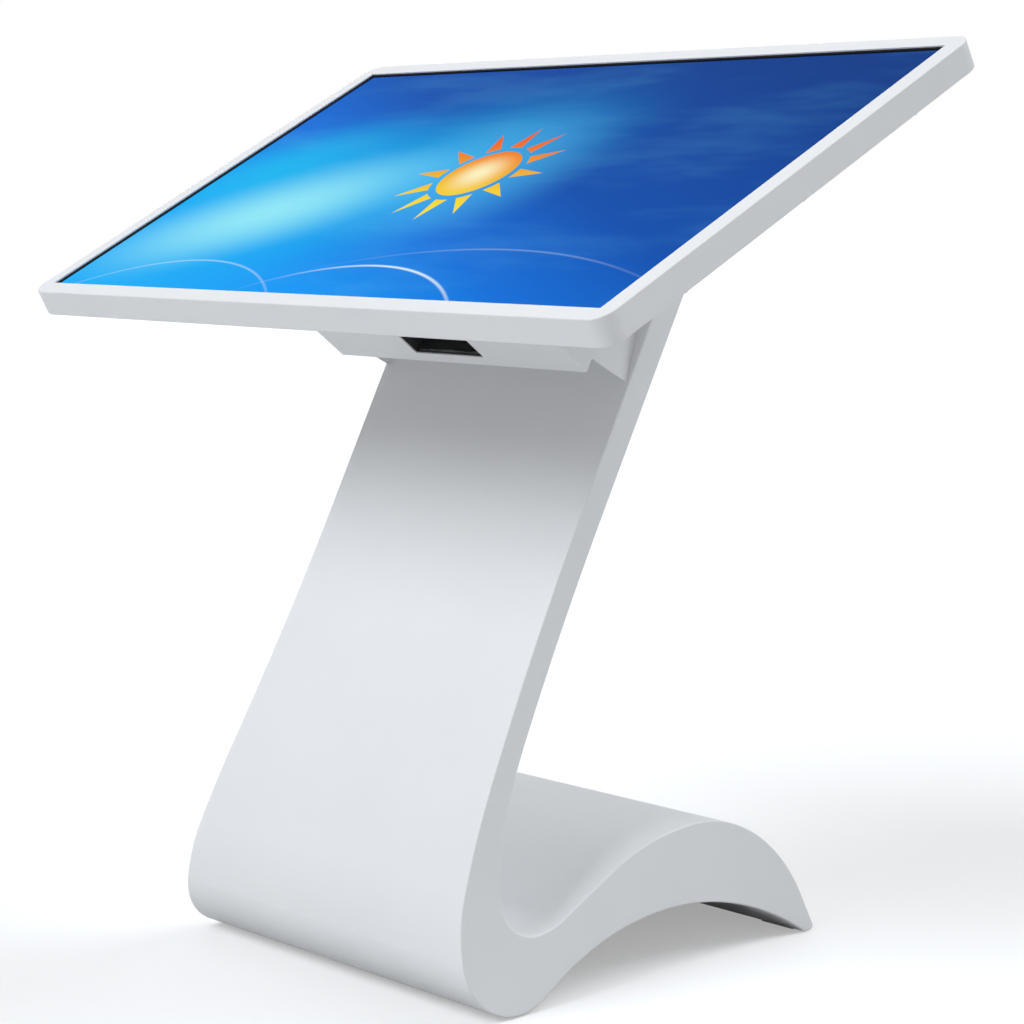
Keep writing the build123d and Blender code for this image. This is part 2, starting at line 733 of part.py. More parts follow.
with BuildPart() as box_block:
    with BuildSketch(head_side):
        Polygon(
            box_upper_front, box_lower_front, box_fold, box_tip, box_upper_rear, align=None
        )
    extrude(amount=box_half_w, both=True)
    with BuildSketch(box_across):
        add(box_outline(0))
    extrude(amount=box_reach, both=True, mode=Mode.INTERSECT)
    front_face = box_block.faces().sort_by(Axis(box_face.origin, box_face.z_dir))[-1]
    fillet(front_face.edges().sort_by(Axis.Z)[:-1], box_edge_r)
with BuildPart() as box_hollow:
    with BuildSketch(box_side):
        Polygon(
            (box_sheet, box_sheet),
            (box_return, box_sheet),
            (box_return, -box_reach),
            (box_reach, -box_reach),
            (box_reach, box_reach),
            (box_sheet, box_reach),
            align=None,
        )
    extrude(amount=box_half_w, both=True)
    with BuildSketch(box_across):
        add(box_outline(box_sheet))
    extrude(amount=2 * box_reach, both=True, mode=Mode.INTERSECT)
bend = radians(90 - box_face_angle)  # from the fold to the level floor behind it
with BuildPart() as box_floor:
    with BuildSketch(head_side):
        Polygon(
            box_fold,
            to_head_side(*column_front(fold_z)),
            to_head_side(*column_front(fold_z + box_sheet)),
            to_head_side(fold_y - box_sheet * tan(bend / 2), fold_z + box_sheet),
            to_head_side(fold_y + box_sheet * face_up.Y, fold_z + box_sheet * face_up.Z),
            align=None,
        )
    extrude(amount=box_half_w, both=True)
    add(box_block.part, mode=Mode.INTERSECT)
with BuildPart() as equipment_box:
    add(box_block.part)
    add(box_hollow.part, mode=Mode.SUBTRACT)
    add(box_floor.part)
    with BuildSketch(box_at(0, slot_up, 1)):
        RectangleRounded(slot_w, slot_h, 0.5)
    extrude(amount=-4, mode=Mode.SUBTRACT)
equipment_box.part.label = "equipment_box"
export_step(equipment_box.part, "parts/equipment_box.step")

fittings_up = slot_up + 2
button_x = -44.0
usb_xs = (-16.0, 6.0)
lan_x = 36.0
fitting_gap = 0.3
usb_w = 14.0
usb_h = 6.6
lan_w = 16.0
lan_h = 13.2
button_barrel_r = 6.6
button_rim_r = 8.5
button_r = 5.0
button_gap = 0.08
shield_t = 0.7
bay_back = -box_sheet - bay_depth
bay_back_face = bay_back + bay_wall
socket_face = bay_back_face + 3
with BuildPart() as port_bay:
    with BuildSketch(box_at(0, slot_up, -box_sheet)):
        Rectangle(slot_w + 16, slot_h + 2 * bay_flange)
    extrude(amount=-bay_wall)
    with BuildSketch(box_at(0, slot_up, -box_sheet)):
        Rectangle(slot_w + 2 * bay_wall, slot_h + 2 * bay_wall)
    extrude(amount=-bay_depth)
    with BuildSketch(box_at(0, slot_up, -box_sheet)):
        Rectangle(slot_w, slot_h)
    extrude(amount=-bay_depth + bay_wall, mode=Mode.SUBTRACT)
    with BuildSketch(box_at(0, fittings_up, bay_back_face)):
        with Locations((button_x, 0)):
            Circle(button_barrel_r + fitting_gap)
        with Locations(*[(x, 0) for x in usb_xs]):
            Rectangle(usb_w + 2 * fitting_gap, usb_h + 2 * fitting_gap)
        with Locations((lan_x, 0)):
            Rectangle(lan_w + 2 * fitting_gap, lan_h + 2 * fitting_gap)
    extrude(amount=-5, mode=Mode.SUBTRACT)
port_bay.part.label = "port_bay"
export_step(port_bay.part, "parts/port_bay.step")

wear_strip_w = 110.0
wear_strip_t = 1.4
wear_strip_depth = 4.4
wear_strip_s = slot_up - slot_h / 2 + wear_strip_t / 2
with BuildPart() as bay_wear_strip:
    with BuildSketch(box_at(0, wear_strip_s, -wear_strip_depth)):
        Rectangle(wear_strip_w, wear_strip_t)
    extrude(amount=-2)
bay_wear_strip.part.label = "bay_wear_strip"
export_step(bay_wear_strip.part, "parts/bay_wear_strip.step")
with BuildPart() as usb_sockets:
    with BuildSketch(box_at(0, fittings_up, socket_face)):
        with Locations(*[(x, 0) for x in usb_xs]):
            Rectangle(usb_w, usb_h)
    extrude(amount=-16)
    with BuildSketch(box_at(0, fittings_up, socket_face)):
        with Locations(*[(x, 0) for x in usb_xs]):
            Rectangle(usb_w - 2 * shield_t, usb_h - 2 * shield_t)
            with Locations((0, 1)):
                Rectangle(11.2, 1.8, mode=Mode.SUBTRACT)
    extrude(amount=-9, mode=Mode.SUBTRACT)
usb_sockets.part.label = "usb_sockets"
export_step(usb_sockets.part, "parts/usb_sockets.step")
with BuildPart() as lan_socket:
    with BuildSketch(box_at(lan_x, fittings_up, socket_face)):
        Rectangle(lan_w, lan_h)
    extrude(amount=-18)
    with BuildSketch(box_at(lan_x, fittings_up, socket_face)):
        with Locations((0, 0.8)):
            Rectangle(12, 7.6)
        with Locations((0, -4.2)):
            Rectangle(6, 2.6)
    extrude(amount=-11, mode=Mode.SUBTRACT)
lan_socket.part.label = "lan_socket"
export_step(lan_socket.part, "parts/lan_socket.step")
with BuildPart() as power_button_housing:
    with BuildSketch(box_at(button_x, fittings_up, bay_back_face)):
        Circle(button_rim_r)
    extrude(amount=2)
    with BuildSketch(box_at(button_x, fittings_up, bay_back_face)):
        Circle(button_barrel_r)
    extrude(amount=-14)
    with BuildSketch(box_at(button_x, fittings_up, bay_back_face + 2)):
        Circle(button_r + button_gap)
    extrude(amount=-9, mode=Mode.SUBTRACT)
power_button_housing.part.label = "power_button_housing"
export_step(power_button_housing.part, "parts/power_button_housing.step")
with BuildPart() as power_button:
    with BuildSketch(box_at(button_x, fittings_up, bay_back_face + 3.8)):
        Circle(button_r)
    extrude(amount=-8)
    fillet(power_button.edges().group_by(Axis(box_face.origin, box_face.z_dir))[-1], 0.6)
power_button.part.label = "power_button"
export_step(power_button.part, "parts/power_button.step")

grommet_r = 21.0
grommet_bore_r = 13.0
grommet_lip = 2.0
with BuildPart() as cable_grommet:
    with BuildSketch(head_at(grommet_spot[0], grommet_spot[1], pan_inside + grommet_lip)):
        Circle(grommet_r)
    extrude(amount=-grommet_lip)
    with BuildSketch(head_at(grommet_spot[0], grommet_spot[1], pan_inside)):
        Circle(grommet_hole_r)
    extrude(amount=-cover_t)
    with BuildSketch(head_at(grommet_spot[0], grommet_spot[1], pan_floor)):
        Circle(grommet_r)
    extrude(amount=-grommet_lip)
    with BuildSketch(head_at(grommet_spot[0], grommet_spot[1], pan_inside + grommet_lip)):
        Circle(grommet_bore_r)
    extrude(amount=-8, mode=Mode.SUBTRACT)
cable_grommet.part.label = "cable_grommet"
export_step(cable_grommet.part, "parts/cable_grommet.step")

# ---- joint between head and stand ---------------------------------------------------------
bracket_w = 390.0
bracket_v0 = box_upper_rear[0] + 3
bracket_v1 = 226.0
bolt_head_w = 13.0  # across flats
bolt_head_t = 5.3
bolt_length = 12.5
with BuildPart() as head_bracket:
    with BuildSketch(head_at(0, (bracket_v0 + bracket_v1) / 2, pan_floor)):
        RectangleRounded(bracket_w, bracket_v1 - bracket_v0, 6)
    extrude(amount=-bracket_t)
    with BuildSketch(head_at(0, 0, pan_floor)):
        with Locations(*bolt_spots):
            Circle(bolt_r + bolt_gap)
    extrude(amount=-bracket_t, mode=Mode.SUBTRACT)
head_bracket.part.label = "head_bracket"
export_step(head_bracket.part, "parts/head_bracket.step")
with BuildPart() as head_bolts:
    with BuildSketch(head_at(0, 0, pan_inside)):
        with Locations(*bolt_spots):
            RegularPolygon(bolt_head_w / 2, 6, major_radius=False)
    extrude(amount=bolt_head_t)
    with BuildSketch(head_at(0, 0, pan_inside)):
        with Locations(*bolt_spots):
            Circle(bolt_r)
    extrude(amount=-bolt_length)
head_bolts.part.label = "head_bolts"
export_step(head_bolts.part, "parts/head_bolts.step")
with BuildPart() as column_top_plate:
    with BuildSketch(stand_side):
        add(stand_inside.sketch)
    extrude(amount=column_half_w - side_t, both=True)
    with BuildSketch(head_plane.offset(column_top)):
        Rectangle(900, 900)
    extrude(amount=-top_plate_t, mode=Mode.INTERSECT)
    with BuildSketch(head_at(0, 0, column_top)):
        with Locations(*bolt_spots):
            Circle(bolt_r)
    extrude(amount=-top_plate_t, mode=Mode.SUBTRACT)
column_top_plate.part.label = "column_top_plate"
export_step(column_top_plate.part, "parts/column_top_plate.step")

# ---- stand --------------------------------------------------------------------------------
stand_edge_r = 1.5
with BuildPart() as stand_side_right:
    with BuildSketch(stand_side.offset(150)):
        add(stand_outline.sketch)
    extrude(amount=150)
    with BuildSketch(stand_face):
        add(front_view(0))
        add(front_view(side_t), mode=Mode.SUBTRACT)
    extrude(amount=600, both=True, mode=Mode.INTERSECT)
    outer_faces = stand_side_right.faces().filter_by(lambda face: face.normal_at().X > 0.7)
    flare_z = flare_top + pad_rise
    rim = outer_faces.edges().filter_by(lambda edge: abs(edge.center().Z - flare_z) > 1)
    fillet(rim, stand_edge_r)
    split(bisect_by=head_plane.offset(column_top), keep=Keep.BOTTOM)
stand_side_right.part.label = "stand_side_right"
export_step(stand_side_right.part, "parts/stand_side_right.step")
with BuildPart() as stand_side_left:
    add(stand_side_right.part.mirror(Plane.YZ))
stand_side_left.part.label = "stand_side_left"
export_step(stand_side_left.part, "parts/stand_side_left.step")

seam_low = (62.0, 45.0)
seam_bulge = (33.0, 115.0)
seam_column = (83.0, 240.0)
seam_top = (472.0, 940.0)
base_top = ((490.0, 18.0), (440.0, 70.0), (293.0, 100.0))

with BuildSketch() as front_zone:
    Polygon(
        (-20, -20), (62, -20), seam_low, seam_bulge, seam_column, seam_top, (-20, 940), align=None
    )

with BuildSketch() as base_zone:
    Polygon((62, -20), (490, -20), *base_top, seam_low, align=None)

with BuildPart() as stand_skin:
    with BuildSketch(stand_side):
        add(stand_outline.sketch)
        add(stand_inside.sketch, mode=Mode.SUBTRACT)
    extrude(amount=300, both=True)
    with BuildSketch(stand_face):
        add(front_view(side_t))
    extrude(amount=600, both=True, mode=Mode.INTERSECT)
    split(bisect_by=head_plane.offset(column_top), keep=Keep.BOTTOM)
with BuildPart() as stand_front_skin:
    add(stand_skin.part)
    with BuildSketch(stand_side):
        add(front_zone.sketch)
    extrude(amount=300, both=True, mode=Mode.INTERSECT)
stand_front_skin.part.label = "stand_front_skin"
export_step(stand_front_skin.part, "parts/stand_front_skin.step")
with BuildPart() as stand_base_skin:
    add(stand_skin.part)
    with BuildSketch(stand_side):
        add(base_zone.sketch)
    extrude(amount=300, both=True, mode=Mode.INTERSECT)
stand_base_skin.part.label = "stand_base_skin"
export_step(stand_base_skin.part, "parts/stand_base_skin.step")
with BuildPart() as stand_rear_skin:
    add(stand_skin.part)
    with BuildSketch(stand_side):
        add(front_zone.sketch)
        add(base_zone.sketch)
    extrude(amount=300, both=True, mode=Mode.SUBTRACT)
stand_rear_skin.part.label = "stand_rear_skin"
export_step(stand_rear_skin.part, "parts/stand_rear_skin.step")

web_holes = ((120.0, 45.0), (220.0, 95.0), (330.0, 105.0), (400.0, 90.0))
web_hole_r = 12.0
ballast_spot = (305.0, 86.0)
ballast_length = 160.0
ballast_t = 20.0
with BuildPart() as stand_webs:
    for x in (-web_x, web_x):
        with BuildSketch(stand_side.offset(x - web_t / 2)):
            add(stand_inside.sketch)
            with Locations(*web_holes):
                Circle(web_hole_r, mode=Mode.SUBTRACT)
        extrude(amount=web_t)
    split(bisect_by=head_plane.offset(column_top - top_plate_t), keep=Keep.BOTTOM)
stand_webs.part.label = "stand_webs"
export_step(stand_webs.part, "parts/stand_webs.step")
with BuildPart() as ballast_plate:
    with BuildSketch(stand_side):
        with Locations(ballast_spot):
            Rectangle(ballast_length, ballast_t)
    extrude(amount=web_x - web_t / 2, both=True)
ballast_plate.part.label = "ballast_plate"
export_step(ballast_plate.part, "parts/ballast_plate.step")

pad_x = 215.0
pad_w = 50.0
front_pad_length = 20.0
front_pad_t = 4.0
rear_pad_length = 8.6
rear_pad_back = 489.2  # distance of its middle behind the front of the stand
with BuildPart() as front_foot_pads:
    for x in (-pad_x, pad_x):
        with BuildSketch(Plane.XY):
            with Locations((x, stand_front + toe_r)):
                RectangleRounded(pad_w, front_pad_length, 3)
        extrude(amount=front_pad_t)
    with BuildSketch(stand_side):
        add(stand_outline.sketch)
    extrude(amount=300, both=True, mode=Mode.SUBTRACT)
front_foot_pads.part.label = "front_foot_pads"
export_step(front_foot_pads.part, "parts/front_foot_pads.step")
with BuildPart() as rear_foot_pads:
    for x in (-pad_x, pad_x):
        with BuildSketch(Plane.XY):
            with Locations((x, stand_front + rear_pad_back)):
                RectangleRounded(pad_w, rear_pad_length, 2)
        extrude(amount=pad_rise)
rear_foot_pads.part.label = "rear_foot_pads"
export_step(rear_foot_pads.part, "parts/rear_foot_pads.step")
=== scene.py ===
import json
from math import cos, pi, radians, sin

import bmesh
import bpy
from mathutils import Matrix, Vector


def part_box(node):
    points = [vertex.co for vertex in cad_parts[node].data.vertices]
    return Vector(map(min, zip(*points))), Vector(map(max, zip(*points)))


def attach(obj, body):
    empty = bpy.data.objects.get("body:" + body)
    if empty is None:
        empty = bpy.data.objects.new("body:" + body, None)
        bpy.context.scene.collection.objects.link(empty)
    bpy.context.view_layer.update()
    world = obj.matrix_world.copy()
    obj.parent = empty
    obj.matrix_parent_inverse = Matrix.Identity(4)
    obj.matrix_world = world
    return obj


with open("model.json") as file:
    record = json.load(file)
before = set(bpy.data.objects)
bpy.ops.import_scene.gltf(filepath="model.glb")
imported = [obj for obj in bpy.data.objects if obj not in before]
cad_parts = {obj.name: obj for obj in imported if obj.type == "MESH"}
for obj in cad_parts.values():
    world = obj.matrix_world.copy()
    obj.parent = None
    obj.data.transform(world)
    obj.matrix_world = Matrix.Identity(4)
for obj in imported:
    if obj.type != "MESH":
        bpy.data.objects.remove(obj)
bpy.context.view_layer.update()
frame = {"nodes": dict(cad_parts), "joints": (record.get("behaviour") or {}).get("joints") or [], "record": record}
nodes = frame["nodes"]
joints = {joint["name"]: joint for joint in frame["joints"]}
MM = 0.001  # one millimetre in metres


def span(name, axis):
    """The lowest and highest place of a node along an axis."""
    places = [axis.dot(vertex.co) for vertex in nodes[name].data.vertices]
    return min(places), max(places)


# ---- axes of the display head and of the port bay -----------------------------------------
across = Vector((1, 0, 0))
head_n = Vector(joints["lock_turn"]["axis"]).normalized()
if head_n.z < 0:
    head_n = -head_n
glass_low, glass_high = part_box("touch_glass")
glass_middle = (glass_low + glass_high) / 2
head_tilt = Vector((0, 0, 1)).angle(head_n)
bay_inward = Vector(joints["power_button_press"]["axis"]).normalized()
bay_up = across.cross(bay_inward)
if bay_up.z < 0:
    bay_up = -bay_up


# ---- node helpers -------------------------------------------------------------------------
def srgb(red, green, blue):
    """Linear colour of a screen colour given from 0 to 255."""
    linear = []
    for value in (red, green, blue):
        share = value / 255
        linear.append(share / 12.92 if share <= 0.04045 else ((share + 0.055) / 1.055) ** 2.4)
    return (*linear, 1.0)


def node(tree, kind, inputs=None, **settings):
    """A shader node with its settings, constant inputs and links."""
    made = tree.nodes.new("ShaderNode" + kind)
    for key, value in settings.items():
        setattr(made, key, value)
    for key, value in (inputs or {}).items():
        if isinstance(value, Field):
            value = value.socket
        if isinstance(value, bpy.types.NodeSocket):
            tree.links.new(value, made.inputs[key])
        else:
            made.inputs[key].default_value = value
    return made


class Field:
    """A number that varies over a surface, worked out by Math nodes."""

    def __init__(self, tree, socket):
        self.tree = tree
        self.socket = socket

    def math(self, operation, *others):
        made = self.tree.nodes.new("ShaderNodeMath")
        made.operation = operation
        for place, value in enumerate((self, *others)):
            if isinstance(value, Field):
                self.tree.links.new(value.socket, made.inputs[place])
            else:
                made.inputs[place].default_value = value
        return Field(self.tree, made.outputs[0])

    def __add__(self, other):
        return self.math("ADD", other)

    def __sub__(self, other):
        return self.math("SUBTRACT", other)

    def __mul__(self, other):
        return self.math("MULTIPLY", other)

    def __truediv__(self, other):
        return self.math("DIVIDE", other)

    def step(self, start, end):
        """0 before start and 1 after end, with a smooth change between them."""
        made = node(
            self.tree,
            "MapRange",
            {"Value": self, "From Min": start, "From Max": end},
            interpolation_type="SMOOTHSTEP",
        )
        return Field(self.tree, made.outputs["Result"])


def blend_colour(tree, share, low, high):
    """low where share is 0, and high where it is 1."""
    made = node(tree, "Mix", data_type="RGBA", clamp_factor=True)
    for socket, value in ((made.inputs[0], share), (made.inputs[6], low), (made.inputs[7], high)):
        if isinstance(value, Field):
            value = value.socket
        if isinstance(value, bpy.types.NodeSocket):
            tree.links.new(value, socket)
        else:
            socket.default_value = value
    return made.outputs[2]


def start_material(name):
    made = bpy.data.materials.new(name)
    made.use_nodes = True
    tree = made.node_tree
    return made, tree, tree.nodes["Principled BSDF"]


def place_on_object(tree, stretch=(1, 1, 1)):
    """The object's own metres, scaled along each axis."""
    coords = node(tree, "TexCoord")
    return node(tree, "Mapping", {"Vector": coords.outputs["Object"], "Scale": stretch}).outputs[0]


def noise(tree, scale, detail=2.0, roughness=0.5, stretch=(1, 1, 1)):
    """Noise with about scale features to the metre."""
    made = node(
        tree,
        "TexNoise",
        {
            "Vector": place_on_object(tree, stretch),
            "Scale": scale,
            "Detail": detail,
            "Roughness": roughness,
        },
    )
    return Field(tree, made.outputs[0])


def cells(tree, scale, feature="F1"):
    """Cells like zinc crystals: a number for each cell, and the distance to its middle.

    With the feature DISTANCE_TO_EDGE there is only the distance to the cell's edge.
    """
    made = node(
        tree, "TexVoronoi", {"Vector": place_on_object(tree), "Scale": scale}, feature=feature
    )
    distance = Field(tree, made.outputs["Distance"])
    if feature != "F1":
        return None, distance
    shade = node(tree, "SeparateColor", {"Color": made.outputs["Color"]})
    return Field(tree, shade.outputs[0]), distance


def height_along(tree, axis):
    """How far each point lies along an axis, in metres."""
    coords = node(tree, "TexCoord")
    dot = node(tree, "VectorMath", {0: coords.outputs["Object"], 1: axis}, operation="DOT_PRODUCT")
    return Field(tree, dot.outputs["Value"])


def finish(made_tree, tone, gloss, rough, spread, relief, strength, depth_mm,
           metal=0.0, specular=0.5):
    """Colour, uneven gloss and relief on the surface of a material that has been started."""
    made, tree, shader = made_tree
    tree.links.new(tone, shader.inputs["Base Color"])
    uneven = node(
        tree, "MapRange", {"Value": gloss, "To Min": rough - spread, "To Max": rough + spread}
    )
    tree.links.new(uneven.outputs[0], shader.inputs["Roughness"])
    bump = node(tree, "Bump", {"Height": relief, "Strength": strength, "Distance": depth_mm * MM})
    tree.links.new(bump.outputs[0], shader.inputs["Normal"])
    shader.inputs["Metallic"].default_value = metal
    shader.inputs["Specular IOR Level"].default_value = specular
    return made


def plain_finish(name, colour, other_colour, rough, spread=0.05, patch=14.0, grain=900.0,
                 strength=0.1, depth_mm=0.2, metal=0.0, specular=0.5, stretch=(1, 1, 1)):
    """A surface that drifts between two near tones, with a fine grain."""
    started = start_material(name)
    tree = started[1]
    drift = noise(tree, patch, detail=3.0, roughness=0.55)
    fine = noise(tree, grain, stretch=stretch)
    tone = blend_colour(tree, drift.step(0.3, 0.7), (*colour, 1), (*other_colour, 1))
    return finish(
        started, tone, gloss=drift * 0.5 + fine * 0.5, rough=rough, spread=spread, relief=fine,
        strength=strength, depth_mm=depth_mm, metal=metal, specular=specular,
    )


# ---- finishes -----------------------------------------------------------------------------
def white_powder_coat():
    """Satin white powder coat: slight orange peel, a finer grain, and an uneven sheen."""
    started = start_material("white_powder_coat")
    tree = started[1]
    drift = noise(tree, scale=4.0, detail=3.0, roughness=0.55)
    peel = noise(tree, scale=300.0, detail=2.0, roughness=0.45)
    grain = noise(tree, scale=1300.0, detail=1.0)
    paint = (0.805, 0.806, 0.81, 1)
    shaded_paint = (0.785, 0.787, 0.795, 1)
    tone = blend_colour(tree, drift.step(0.3, 0.7), paint, shaded_paint)
    return finish(
        started, tone, gloss=drift * 0.6 + peel * 0.4, rough=0.42, spread=0.06,
        relief=peel * 0.85 + grain * 0.15, strength=0.05, depth_mm=0.2,
    )


def galvanised_sheet():
    """Zinc-coated steel sheet with its large crystals."""
    started = start_material("galvanised_sheet")
    tree = started[1]
    crystal, distance = cells(tree, 95.0)
    streak = noise(tree, scale=700.0, detail=3.0, roughness=0.6, stretch=(1, 0.2, 1))
    tone = blend_colour(tree, crystal, (0.43, 0.44, 0.455, 1), (0.60, 0.61, 0.62, 1))
    return finish(
        started, tone, gloss=crystal * 0.7 + streak * 0.3, rough=0.40, spread=0.12,
        relief=distance + streak * 0.01, strength=0.15, depth_mm=0.1, metal=1.0,
    )


def cast_iron():
    """Sand-cast iron: dark, rough, with a few brown blooms."""
    started = start_material("cast_iron")
    tree = started[1]
    pits = noise(tree, scale=420.0, detail=6.0, roughness=0.7)
    bloom = noise(tree, scale=30.0, detail=4.0, roughness=0.6)
    iron = (0.075, 0.075, 0.08, 1)
    rust = (0.12, 0.075, 0.05, 1)
    tone = blend_colour(tree, bloom.step(0.52, 0.75), iron, rust)
    return finish(
        started, tone, gloss=pits, rough=0.78, spread=0.1, relief=pits, strength=0.5,
        depth_mm=0.6, metal=0.4,
    )


def printed_board(name, node_name, mask, trace_mask, component, component_depth):
    """A printed board: solder mask with traces, and components of another colour on it.

    The components are what lies within component_depth millimetres of the node's front, or of
    its rear where that number is negative.
    """
    started = start_material(name)
    tree = started[1]
    traces = cells(tree, 160.0, "DISTANCE_TO_EDGE")[1].step(0.06, 0.03)
    board = blend_colour(tree, traces, (*mask, 1), (*trace_mask, 1))
    low, high = span(node_name, head_n)
    height = height_along(tree, head_n)
    edge = 0.1 * MM
    if component_depth > 0:
        start = high - component_depth * MM
        on_component = height.step(start, start + edge)
    else:
        start = low - component_depth * MM
        on_component = height.step(start, start - edge)
    tone = blend_colour(tree, on_component, board, (*component, 1))
    grain = noise(tree, scale=900.0)
    return finish(
        started, tone, gloss=grain, rough=0.35, spread=0.08, relief=traces * 0.6 + grain * 0.4,
        strength=0.2, depth_mm=0.05,
    )


def lit_touch_glass():
    """Touch glass over a lit display: a plain blue picture with a sun in its middle."""
    made, tree, shader = start_material("lit_touch_glass")
    coords = node(tree, "TexCoord")
    moved = node(tree, "Mapping", {"Vector": coords.outputs["Object"], "Location": -glass_middle})
    turned = node(
        tree, "VectorRotate", {"Vector": moved.outputs[0], "Angle": -head_tilt},
        rotation_type="X_AXIS",
    )
    split = node(tree, "SeparateXYZ", {"Vector": turned.outputs[0]})
    u = Field(tree, split.outputs[0])
    v = Field(tree, split.outputs[1])

    def distance(centre_u, centre_v, stretch_u=1.0, stretch_v=1.0, turn=0.0):
        """Distance from a point, longer or shorter along two axes at an angle to the screen's."""
        du = u - centre_u
        dv = v - centre_v
        along = (du * cos(turn) + dv * sin(turn)) / stretch_u
        aside = (dv * cos(turn) - du * sin(turn)) / stretch_v
        return (along * along + aside * aside).math("SQRT")

    def arc(centre_u, centre_v, radius, width, start_u, end_u, strength):
        """A thin light line along the upper part of a circle."""
        off = (distance(centre_u, centre_v) - radius).math("ABSOLUTE")
        middle_u = (start_u + end_u) / 2
        along = u.step(start_u, middle_u) * u.step(end_u, middle_u)
        return off.step(width, 0.0) * along * (v - centre_v).step(0.0, 0.001) * strength

    # Dark at the back and on the right, azure at the front left.
    lightness = (v * -1.0 - u * 0.5).step(-0.62, 0.62)
    ramp = node(tree, "ValToRGB", {"Fac": lightness})
    stops = ramp.color_ramp.elements
    stops[0].color = srgb(4, 54, 128)
    stops[1].color = srgb(14, 172, 250)
    for place, colour in ((0.42, (3, 78, 172)), (0.62, (2, 110, 216)), (0.80, (6, 150, 244))):
        stops.new(place).color = srgb(*colour)
    picture = ramp.outputs["Color"]

    # Slanting glows: middle, half length, half width, strength and colour.
    glow_turn = radians(27)
    glows = (
        (-0.22, -0.06, 0.50, 0.25, 0.85, (14, 184, 240)),
        (-0.38, 0.02, 0.24, 0.13, 0.6, (10, 196, 242)),
        (-0.27, -0.09, 0.30, 0.13, 0.9, (150, 234, 246)),
    )
    for glow_u, glow_v, half_length, half_width, strength, colour in glows:
        glow = distance(glow_u, glow_v, half_length, half_width, glow_turn).step(1.0, 0.0)
        picture = blend_colour(tree, glow * strength, picture, srgb(*colour))
    streak_strength = 0.08
    streaks = noise(tree, scale=9.0, detail=3.0, roughness=0.6, stretch=(0.35, 1.4, 1.4))
    streaks = streaks.step(0.45, 0.75) * streak_strength
    picture = blend_colour(tree, streaks, picture, srgb(110, 210, 250))

    # Fine arcs: centre, radius, line width, first and last place across, and strength.
    front_arc = arc(0.06, -0.50, 0.30, 0.0032, -0.14, 0.36, 0.95)
    left_arc = arc(-0.25, -0.52, 0.32, 0.0026, -0.60, 0.10, 0.4)
    wide_arc = arc(0.22, -0.86, 0.70, 0.0026, -0.10, 0.60, 0.2)
    lines = front_arc + left_arc + wide_arc
    picture = blend_colour(tree, lines, picture, srgb(225, 246, 252))

    sun_u, sun_v = 0.012, 0.004
    disc_radius, ray_start, ray_end = 0.050, 0.060, 0.108
    ray_count = 12
    ray_half_width = 0.0105
    soft = 0.0012
    reach = distance(sun_u, sun_v)
    angle = (v - sun_v).math("ARCTAN2", u - sun_u)
    from_ray = (angle * (ray_count / (2 * pi))).math("PINGPONG", 0.5)
    beside_ray = from_ray * reach * (2 * pi / ray_count)
    taper = (reach * -1.0 + ray_end) * (ray_half_width / (ray_end - ray_start))
    ray = (taper - beside_ray).step(0.0, soft) * reach.step(ray_start, ray_start + soft)
    shine_end, shine_start, shine_strength = 0.20, 0.04, 0.35
    shine = reach.step(shine_end, shine_start) * shine_strength
    picture = blend_colour(tree, shine, picture, srgb(90, 200, 250))
    warm_reach = 0.10
    height = (v - sun_v).step(-warm_reach, warm_reach)
    warm = blend_colour(tree, height, srgb(246, 222, 50), srgb(236, 92, 32))
    disc_tone = blend_colour(tree, reach.step(0.0, disc_radius), srgb(250, 240, 190), warm)
    picture = blend_colour(tree, ray, picture, warm)
    picture = blend_colour(tree, reach.step(disc_radius + soft, disc_radius), picture, disc_tone)

    # The lit area ends 4 mm inside the opening of the bezel, and the glass around it is black.
    lit_half_w, lit_half_h = 0.4705, 0.2645
    lit_edge = 0.6 * MM
    inside_w = u.math("ABSOLUTE").step(lit_half_w + lit_edge, lit_half_w)
    inside_h = v.math("ABSOLUTE").step(lit_half_h + lit_edge, lit_half_h)
    picture = blend_colour(tree, inside_w * inside_h, (0.001, 0.001, 0.0012, 1), picture)

    shader.inputs["Base Color"].default_value = (0.004, 0.004, 0.005, 1)
    tree.links.new(picture, shader.inputs["Emission Color"])
    shader.inputs["Emission Strength"].default_value = 1.0
    shader.inputs["Specular IOR Level"].default_value = 0.01
    smudge = noise(tree, scale=7.0, detail=4.0)
    gloss = node(tree, "MapRange", {"Value": smudge, "To Min": 0.08, "To Max": 0.2})
    tree.links.new(gloss.outputs[0], shader.inputs["Roughness"])
    bump = node(tree, "Bump", {"Height": smudge, "Strength": 0.02, "Distance": 0.1 * MM})
    tree.links.new(bump.outputs[0], shader.inputs["Normal"])
    return made


